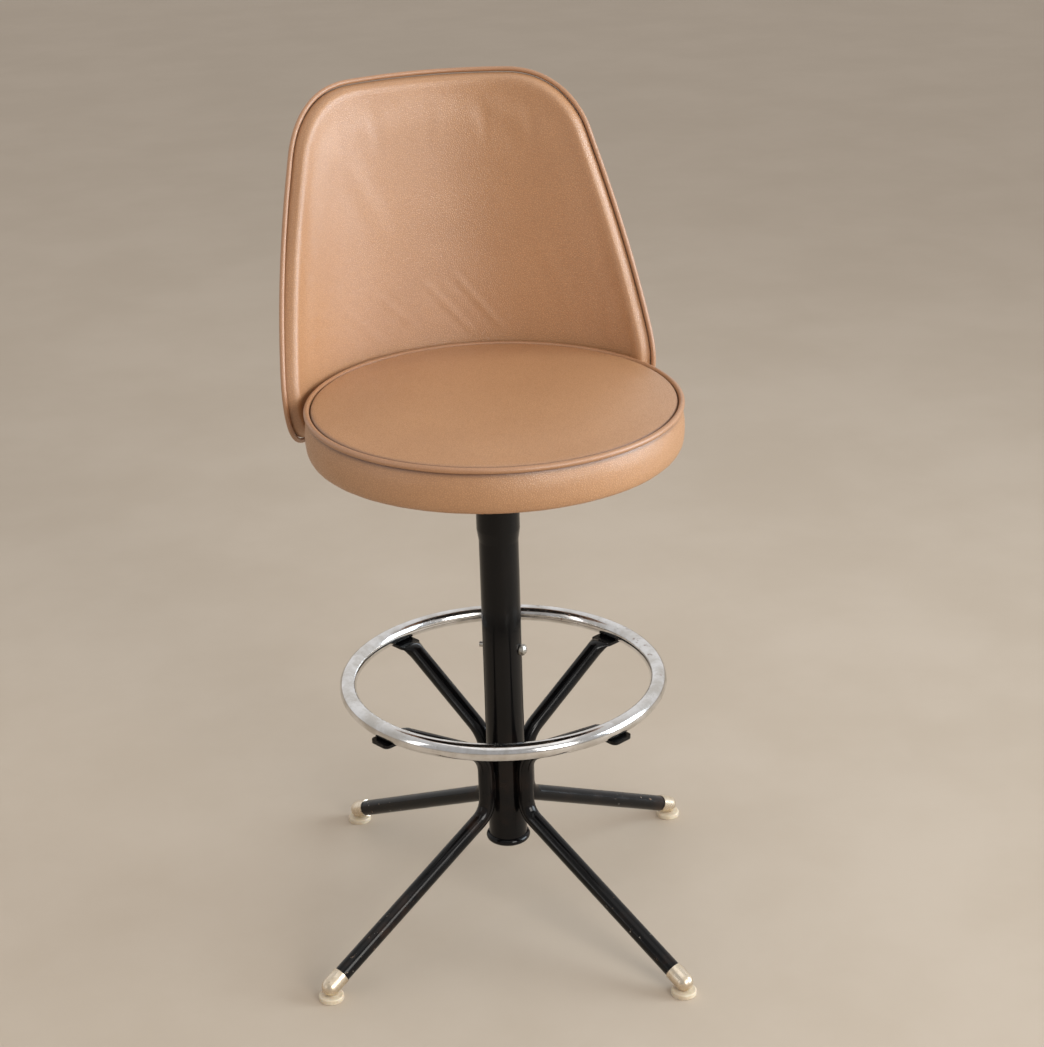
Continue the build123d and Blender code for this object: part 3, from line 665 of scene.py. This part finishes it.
# ---------------------------------------------------------------- node graphs
class Graph:
    """A material's nodes, with short calls for the kinds used here."""

    def __init__(self, name):
        self.material = bpy.data.materials.new(name)
        self.material.use_nodes = True
        self.tree = self.material.node_tree
        self.tree.nodes.clear()
        self.output = self.node("ShaderNodeOutputMaterial")
        self.place = self.node("ShaderNodeTexCoord").outputs["Object"]

    def node(self, kind, inputs=None, **settings):
        made = self.tree.nodes.new(kind)
        for key, value in settings.items():
            setattr(made, key, value)
        for key, value in (inputs or {}).items():
            if isinstance(value, bpy.types.NodeSocket):
                self.tree.links.new(value, made.inputs[key])
            else:
                made.inputs[key].default_value = value
        return made

    def noise(self, scale, detail=3.0, roughness=0.5, distortion=0.0, place=None):
        inputs = {"Vector": place or self.place, "Scale": scale, "Detail": detail,
                  "Roughness": roughness, "Distortion": distortion}
        return self.node("ShaderNodeTexNoise", inputs).outputs["Fac"]

    def cells(self, scale, feature="F1", place=None):
        made = self.node("ShaderNodeTexVoronoi", {"Vector": place or self.place, "Scale": scale},
                         feature=feature)
        return made.outputs["Distance"]

    def stretched(self, x, y, z):
        """Object coordinates scaled differently along the three axes."""
        made = self.node("ShaderNodeMapping", {"Vector": self.place, "Scale": (x, y, z)})
        return made.outputs["Vector"]

    def ramp(self, value, low, high, out_low=0.0, out_high=1.0):
        inputs = {"Value": value, "From Min": low, "From Max": high,
                  "To Min": out_low, "To Max": out_high}
        made = self.node("ShaderNodeMapRange", inputs, interpolation_type="SMOOTHSTEP")
        return made.outputs["Result"]

    def math(self, operation, first, second=0.0):
        return self.node("ShaderNodeMath", {0: first, 1: second}, operation=operation).outputs["Value"]

    def blend(self, share, first, second):
        """Mixes two colours; colours are RGB tuples or sockets."""
        made = self.node("ShaderNodeMix", data_type="RGBA")
        for key, value in ((0, share), (6, first), (7, second)):
            if isinstance(value, bpy.types.NodeSocket):
                self.tree.links.new(value, made.inputs[key])
            else:
                made.inputs[key].default_value = (*value, 1) if isinstance(value, tuple) else value
        return made.outputs[2]

    def part(self, axis):
        return self.node("ShaderNodeSeparateXYZ", {"Vector": self.place}).outputs[axis]

    def mark(self, name):
        return self.node("ShaderNodeAttribute", attribute_name=name).outputs["Fac"]

    def bump(self, height, distance, strength=1.0, below=None):
        inputs = {"Height": height, "Distance": distance, "Strength": strength}
        if below is not None:
            inputs["Normal"] = below
        return self.node("ShaderNodeBump", inputs).outputs["Normal"]

    def finish(self, **inputs):
        """Closes the graph with one Principled shader; inputs are named by words and _."""
        shader = self.node("ShaderNodeBsdfPrincipled")
        for key, value in inputs.items():
            socket = shader.inputs[key.replace("_", " ")]
            if isinstance(value, bpy.types.NodeSocket):
                self.tree.links.new(value, socket)
            elif isinstance(value, tuple) and len(value) == 3 and len(socket.default_value) == 4:
                socket.default_value = (*value, 1)
            else:
                socket.default_value = value
        self.tree.links.new(shader.outputs["BSDF"], self.output.inputs["Surface"])
        return self.material


# ---------------------------------------------------------------- finishes
def make_vinyl(name, colour, seam=True, grain=1.0):
    """Pebbled upholstery vinyl: small rounded pebbles with creases between them. The colour carries
    painted shade in the creases and, unless turned off for the piping, painted shade in the grooves
    beside the piping.
    """
    g = Graph(name)
    bend = g.noise(260, 2)
    warped = g.node("ShaderNodeVectorMath", {0: g.place, 1: (0, 0, 0)}, operation="ADD")
    shift = g.node("ShaderNodeCombineXYZ", {"X": g.math("MULTIPLY", bend, 1.6 * mm),
                                            "Y": g.math("MULTIPLY", bend, -1.6 * mm),
                                            "Z": g.math("MULTIPLY", bend, 1.6 * mm)})
    g.tree.links.new(shift.outputs["Vector"], warped.inputs[1])
    place = warped.outputs["Vector"]
    creases = g.ramp(g.cells(470, "DISTANCE_TO_EDGE", place), 0.0, 0.30)
    small = g.ramp(g.cells(1050, "DISTANCE_TO_EDGE", place), 0.0, 0.35)
    pebbles = g.math("ADD", g.math("MULTIPLY", creases, 0.75), g.math("MULTIPLY", small, 0.25))
    cloudy = g.noise(9, 4, 0.55)
    patches = g.noise(45, 3, 0.6)
    light = tuple(min(1.0, c * 1.04) for c in colour)
    dark = tuple(c * f for c, f in zip(colour, (0.94, 0.92, 0.90)))
    tone = g.blend(g.ramp(cloudy, 0.3, 0.7), dark, light)
    tone = g.blend(g.ramp(patches, 0.35, 0.75, 0.0, 0.25), tone, colour)
    # painted shade: the colour is darkened in the creases between the pebbles, where shade falls
    crease_shade = tuple(c * f for c, f in zip(colour, (0.66, 0.60, 0.56)))
    tone = g.blend(g.ramp(pebbles, 0.85, 0.1, 0.0, 0.5 * grain), tone, crease_shade)
    # painted shade: dark brown in the grooves beside the piping, by the mark each piece stores for its
    # seams
    if seam:
        tone = g.blend(g.math("MULTIPLY", g.mark("seam"), 0.85), tone, (0.085, 0.034, 0.016))
    rough = g.ramp(pebbles, 0.0, 1.0, 0.46, 0.33)
    normal = g.bump(g.noise(2600, 2), 0.05 * mm, 0.35 * grain)
    normal = g.bump(pebbles, 0.19 * mm, 0.75 * grain, normal)
    normal = g.bump(patches, 0.5 * mm, 0.25, normal)
    return g.finish(Base_Color=tone, Roughness=rough, Normal=normal, Specular_IOR_Level=1.0)


def make_paint():
    """Gloss black enamel, with brown rubbed spots low down and a few chips."""
    g = Graph("gloss_black_enamel")
    height = g.part("Z")
    low = g.ramp(height, 0.16, 0.02)
    spots = g.noise(160, 4, 0.65)
    chip = g.math("MULTIPLY", g.ramp(spots, 0.665, 0.70), g.ramp(low, 0.45, 0.95))
    everywhere = g.ramp(g.noise(210, 3, 0.6), 0.775, 0.79)
    chip = g.math("MAXIMUM", chip, everywhere)
    rubbed = g.ramp(g.noise(28, 4, 0.6), 0.48, 0.72)
    rub = g.math("MULTIPLY", rubbed, g.ramp(height, 0.3, 0.06, 0.1, 0.8))
    tone = g.blend(rub, (0.0028, 0.0027, 0.0030), (0.022, 0.012, 0.008))
    worn = g.blend(g.ramp(g.noise(420, 2), 0.42, 0.6), (0.16, 0.085, 0.045), (0.42, 0.38, 0.33))
    tone = g.blend(chip, tone, worn)
    smears = g.noise(38, 5, 0.6, place=g.stretched(1.0, 1.0, 0.35))
    rough = g.ramp(smears, 0.3, 0.75, 0.12, 0.26)
    rough = g.math("MAXIMUM", rough, g.math("MULTIPLY", chip, 0.7))
    normal = g.bump(g.noise(340, 2), 0.09 * mm, 0.35)
    normal = g.bump(g.math("SUBTRACT", 1.0, chip), 0.12 * mm, 0.7, normal)
    return g.finish(Base_Color=tone, Roughness=rough, Normal=normal, Specular_IOR_Level=0.24)


def make_chrome():
    """Bright chrome with haze, fine scratches and, to the rear, pits and rust spots."""
    g = Graph("aged_chrome")
    haze = g.noise(34, 5, 0.62)
    pits = g.ramp(g.cells(430), 0.20, 0.12)
    pits = g.math("MULTIPLY", pits, g.ramp(g.noise(30, 3), 0.50, 0.66))
    east = g.part("X")
    north = g.part("Y")
    rear = g.ramp(g.math("ADD", east, g.math("MULTIPLY", north, 0.4)), 0.06, 0.17)
    rust = g.math("MULTIPLY", g.ramp(g.noise(120, 4, 0.7), 0.62, 0.69), rear)
    tone = g.blend(g.ramp(haze, 0.35, 0.7), (0.81, 0.81, 0.82), (0.60, 0.58, 0.55))
    tone = g.blend(pits, tone, (0.16, 0.13, 0.11))
    tone = g.blend(rust, tone, (0.20, 0.085, 0.035))
    marks = g.math("MAXIMUM", pits, rust)
    rough = g.math("ADD", g.ramp(haze, 0.35, 0.8, 0.09, 0.24), g.math("MULTIPLY", marks, 0.5))
    metal = g.math("SUBTRACT", 1.0, g.math("MULTIPLY", rust, 0.9))
    scratches = g.noise(900, 2, place=g.stretched(1.0, 1.0, 0.2))
    normal = g.bump(scratches, 0.02 * mm, 0.25)
    normal = g.bump(g.math("SUBTRACT", 1.0, marks), 0.1 * mm, 0.6, normal)
    return g.finish(Base_Color=tone, Metallic=metal, Roughness=rough, Normal=normal)


def make_metal(name, bright, dull, smooth, rough_end, grain=700, spots=(0.20, 0.15, 0.10)):
    """A satin plated metal with brushed grain, dull patches and a few dark spots."""
    g = Graph(name)
    patches = g.noise(85, 4, 0.6)
    dirt = g.math("MULTIPLY", g.ramp(g.noise(380, 4, 0.65), 0.60, 0.70), g.ramp(patches, 0.45, 0.7))
    tone = g.blend(g.ramp(patches, 0.35, 0.7), bright, dull)
    tone = g.blend(g.math("MULTIPLY", dirt, 0.8), tone, spots)
    rough = g.math("ADD", g.ramp(patches, 0.3, 0.75, smooth, rough_end), g.math("MULTIPLY", dirt, 0.3))
    scratches = g.noise(grain, 3, place=g.stretched(1.0, 1.0, 0.25))
    normal = g.bump(scratches, 0.03 * mm, 0.35)
    return g.finish(Base_Color=tone, Metallic=1.0, Roughness=rough, Normal=normal)


def make_plastic(name, colour, stain, smooth=0.36):
    """Moulded plastic, faintly mottled, with scuffs near the floor and light passing a little way in."""
    g = Graph(name)
    mottled = g.noise(160, 3)
    tone = g.blend(g.ramp(mottled, 0.3, 0.75), colour, stain)
    scuffs = g.ramp(g.noise(520, 4, 0.7), 0.58, 0.70, 0.0, 0.5)
    near_floor = g.ramp(g.part("Z"), 4 * mm, 0.0)
    tone = g.blend(g.math("MULTIPLY", scuffs, near_floor), tone, (0.30, 0.24, 0.17))
    rough = g.ramp(mottled, 0.2, 0.8, smooth, smooth + 0.14)
    normal = g.bump(g.noise(900, 3), 0.03 * mm, 0.4)
    return g.finish(Base_Color=tone, Roughness=rough, Normal=normal, Subsurface_Weight=0.25,
                    Subsurface_Radius=(3 * mm, 2 * mm, 1.2 * mm), Subsurface_Scale=1.0)


def make_cloth():
    """Loose black cambric: a plain weave of thin threads."""
    g = Graph("black_cambric")
    warp = g.node("ShaderNodeTexWave", {"Vector": g.place, "Scale": 260.0, "Distortion": 0.6},
                  bands_direction="X").outputs["Fac"]
    weft = g.node("ShaderNodeTexWave", {"Vector": g.place, "Scale": 260.0, "Distortion": 0.6},
                  bands_direction="Y").outputs["Fac"]
    weave = g.math("MULTIPLY", warp, weft)
    dust = g.noise(60, 4, 0.6)
    tone = g.blend(weave, (0.006, 0.006, 0.007), (0.030, 0.029, 0.030))
    tone = g.blend(g.ramp(dust, 0.5, 0.8, 0.0, 0.5), tone, (0.075, 0.068, 0.060))
    return g.finish(Base_Color=tone, Roughness=0.93, Normal=g.bump(weave, 0.15 * mm, 0.8),
                    Specular_IOR_Level=0.2)


def make_wood():
    """Plywood: pale veneer with long grain, and plies that show at the edge."""
    g = Graph("birch_plywood")
    grain = g.noise(120, 5, 0.6, 1.2, g.stretched(0.12, 1.0, 1.0))
    plies = g.node("ShaderNodeTexWave", {"Vector": g.place, "Scale": 95.0, "Distortion": 0.4},
                   bands_direction="Z").outputs["Fac"]
    tone = g.blend(g.ramp(grain, 0.35, 0.7), (0.50, 0.34, 0.19), (0.34, 0.20, 0.10))
    tone = g.blend(g.ramp(plies, 0.4, 0.6, 0.0, 0.35), tone, (0.24, 0.14, 0.07))
    return g.finish(Base_Color=tone, Roughness=0.72, Normal=g.bump(grain, 0.2 * mm, 0.4))


def make_foam():
    g = Graph("old_foam")
    pores = g.ramp(g.cells(900), 0.1, 0.5)
    tone = g.blend(g.noise(30, 3), (0.62, 0.50, 0.26), (0.50, 0.36, 0.15))
    tone = g.blend(g.ramp(pores, 0.8, 0.0, 0.0, 0.5), tone, (0.24, 0.16, 0.06))
    return g.finish(Base_Color=tone, Roughness=0.9, Normal=g.bump(pores, 0.4 * mm, 0.8))


tan = (0.500, 0.262, 0.124)
finishes = {
    "tan_vinyl": make_vinyl("tan_pebbled_vinyl", tan),
    "tan_vinyl_welt": make_vinyl("tan_vinyl_piping", (0.440, 0.222, 0.108), seam=False, grain=0.7),
    "gloss_black_paint": make_paint(),
    "chrome": make_chrome(),
    "nickel": make_metal("aged_nickel", (0.84, 0.74, 0.60), (0.66, 0.55, 0.41), 0.22, 0.44),
    "zinc_plate": make_metal("dull_zinc", (0.60, 0.58, 0.54), (0.40, 0.37, 0.32), 0.30, 0.55),
    "bare_steel": make_metal("oiled_steel", (0.50, 0.50, 0.51), (0.34, 0.32, 0.30), 0.22, 0.45),
    "cream_plastic": make_plastic("cream_glide_plastic", (0.67, 0.58, 0.44), (0.58, 0.48, 0.35)),
    "nylon": make_plastic("natural_nylon", (0.70, 0.69, 0.64), (0.62, 0.60, 0.54), 0.42),
    "plywood": make_wood(),
    "foam": make_foam(),
    "black_cloth": make_cloth(),
}


def dress(piece, finish):
    piece.data.materials.clear()
    piece.data.materials.append(finishes[finish])


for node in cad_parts.values():
    for material_slot in node.material_slots:
        material_slot.material = finishes[material_slot.material.name.split(".")[0]]


# ---------------------------------------------------------------- pieces on their bodies
upholstery = [
    (make_back_pad(), "tan_vinyl", ("back_front_panel", "back_foam")),
    (make_back_cover(), "tan_vinyl", ("back_cover",)),
    (make_back_piping(), "tan_vinyl_welt", ("back_welt",)),
    (make_seat_cushion(), "tan_vinyl", ("seat_top_panel", "seat_foam")),
    (make_seat_band(), "tan_vinyl", ("seat_band",)),
    (make_seat_piping(), "tan_vinyl_welt", ("seat_welt",)),
    (make_dust_cover(), "black_cloth", ("seat_dust_cover",)),
]
for piece, finish, stands_for in upholstery:
    dress(piece, finish)
    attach(piece, "seat")
    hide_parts(*stands_for)


# ---------------------------------------------------------------- camera
seat_turn = math.radians(-15.1)  # the seat stands turned to the camera's right
camera_distance = 2.284
camera_height = 1.4429
camera_yaw = math.radians(0.6637)
camera_pitch = math.radians(22.7404)
camera_roll = math.radians(-1.6632)
view_width_pixels = 1044
focal_length_pixels = 2238.6


def make_camera():
    forward = Vector((math.sin(camera_yaw) * math.cos(camera_pitch),
                      math.cos(camera_yaw) * math.cos(camera_pitch), -math.sin(camera_pitch)))
    level = Vector((math.cos(camera_yaw), -math.sin(camera_yaw), 0))
    upright = level.cross(forward)
    right = math.cos(camera_roll) * level + math.sin(camera_roll) * upright
    up = math.cos(camera_roll) * upright - math.sin(camera_roll) * level
    axes = Matrix((right, up, -forward)).transposed().to_4x4()
    place = Matrix.Translation((0, -camera_distance, camera_height)) @ axes
    lens = bpy.data.cameras.new("camera")
    lens.sensor_fit = "HORIZONTAL"
    lens.sensor_width = 36.0
    lens.lens = 36.0 * focal_length_pixels / view_width_pixels
    camera = bpy.data.objects.new("camera", lens)
    camera.matrix_world = Matrix.Rotation(seat_turn, 4, "Z") @ place
    bpy.context.scene.collection.objects.link(camera)
    bpy.context.scene.camera = camera


# ---------------------------------------------------------------- light and floor
def soft_box(name, azimuth, elevation, distance, width, height, watts, colour, spread=180):
    """An area light aimed at the stool; azimuth 0 is behind the camera, 90 to its right."""
    target = Vector((0, 0, 0.5))
    turn = math.radians(azimuth) + seat_turn
    rise = math.radians(elevation)
    away = Vector((math.sin(turn) * math.cos(rise), -math.cos(turn) * math.cos(rise), math.sin(rise)))
    lamp = bpy.data.lights.new(name, "AREA")
    lamp.shape = "RECTANGLE"
    lamp.size = width
    lamp.size_y = height
    lamp.energy = watts
    lamp.color = colour
    lamp.spread = math.radians(spread)
    light = bpy.data.objects.new(name, lamp)
    light.location = target + away * distance
    light.rotation_mode = "QUATERNION"
    light.rotation_quaternion = away.to_track_quat("Z", "Y")
    light.visible_camera = False
    bpy.context.scene.collection.objects.link(light)


def make_floor():
    """A wide pale floor with a faint unevenness in its colour and polish."""
    radius = 16.0
    count = 96
    points = [(0, 0, 0)]
    for k in range(count):
        turn = 2 * math.pi * k / count
        points.append((radius * math.cos(turn), radius * math.sin(turn), 0))
    floor = new_piece("floor", points, [(0, k + 1, (k + 1) % count + 1) for k in range(count)])
    g = Graph("pale_floor")
    clouds = g.noise(3.0, 5, 0.6)
    tone = g.blend(g.ramp(clouds, 0.3, 0.7), (0.50, 0.415, 0.325), (0.54, 0.455, 0.365))
    floor.data.materials.append(g.finish(Base_Color=tone, Roughness=g.ramp(clouds, 0.3, 0.7, 0.7, 0.8),
                                         Normal=g.bump(g.noise(90, 4), 0.3 * mm, 0.2)))


def make_world():
    """Soft surroundings, pale beyond the stool and dimmer behind the camera."""
    world = bpy.data.worlds.new("studio")
    world.use_nodes = True
    tree = world.node_tree
    background = tree.nodes["Background"]
    background.inputs["Color"].default_value = (1.0, 0.975, 0.95, 1)
    towards = tree.nodes.new("ShaderNodeTexCoord").outputs["Generated"]
    facing = tree.nodes.new("ShaderNodeVectorMath")
    facing.operation = "DOT_PRODUCT"
    facing.inputs[1].default_value = (-math.sin(seat_turn), math.cos(seat_turn), 0)
    tree.links.new(towards, facing.inputs[0])
    strength = tree.nodes.new("ShaderNodeMapRange")
    strength.inputs["From Min"].default_value = -0.6
    strength.inputs["From Max"].default_value = 0.7
    strength.inputs["To Min"].default_value = 0.42
    strength.inputs["To Max"].default_value = 0.80
    tree.links.new(facing.outputs["Value"], strength.inputs["Value"])
    tree.links.new(strength.outputs["Result"], background.inputs["Strength"])
    bpy.context.scene.world = world


make_camera()
make_floor()
make_world()
# name, azimuth, elevation, distance, width, height, watts, colour, beam spread
soft_box("window_right", 88, 15, 4.0, 2.4, 2.4, 34, (0.80, 0.91, 1.0), 80)
soft_box("window_front", 34, 20, 4.0, 1.6, 2.0, 17.5, (1.0, 0.97, 0.93), 80)
soft_box("wall_left", -62, 18, 3.6, 0.6, 2.4, 1.9, (1.0, 0.97, 0.94), 80)
soft_box("ceiling", 20, 78, 3.2, 3.0, 3.0, 16, (1.0, 0.98, 0.95))
bpy.context.scene.view_settings.view_transform = "Standard"
